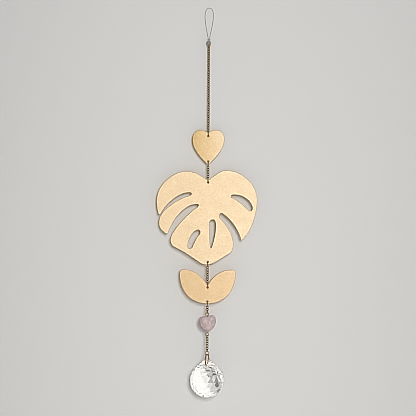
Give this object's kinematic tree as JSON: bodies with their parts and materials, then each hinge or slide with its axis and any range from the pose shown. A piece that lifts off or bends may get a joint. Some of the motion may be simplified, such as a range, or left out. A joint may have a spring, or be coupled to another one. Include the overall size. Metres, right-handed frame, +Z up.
{
  "type": "suncatcher",
  "caption": "Hanging suncatcher: a chain with a flat brass heart, a slotted monstera leaf and a small sprout, then a rose quartz heart and a faceted crystal ball, on a clear thread loop.",
  "frame": {"origin": "inside of the top of the thread loop, where it rests on a pin or hook", "axes": "+Z up along the hanging line, -Y out of the front, +X to the right seen from the front"},
  "size_m": [0.0868, 0.0298, 0.3353],
  "materials": {
    "plate_brass": "satin brushed brass",
    "chain_brass": "antique brass, polished on the high spots",
    "ring_brass": "polished brass wire",
    "rose_quartz": "polished, milky pink",
    "crystal": "clear cut crystal",
    "nylon_thread": "clear nylon"
  },
  "bodies": {
    "root": {"hanging_loop": "nylon_thread", "loop_knot": "nylon_thread", "top_ring": "ring_brass", "upper_chain": "chain_brass", "heart_upper_ring": "ring_brass", "brass_heart": "plate_brass", "heart_lower_ring": "ring_brass", "heart_to_leaf_chain": "chain_brass", "leaf_upper_ring": "ring_brass", "monstera_leaf": "plate_brass", "leaf_lower_ring": "ring_brass", "leaf_to_sprout_chain": "chain_brass", "sprout_upper_ring": "ring_brass", "sprout_leaves": "plate_brass", "sprout_lower_ring": "ring_brass", "sprout_to_bead_chain": "chain_brass", "bead_wire": "ring_brass", "quartz_heart": "rose_quartz", "bead_to_crystal_chain": "chain_brass", "small_ring": "ring_brass", "crystal_ring": "ring_brass", "crystal_ball": "crystal"}
  },
  "joints": []
}
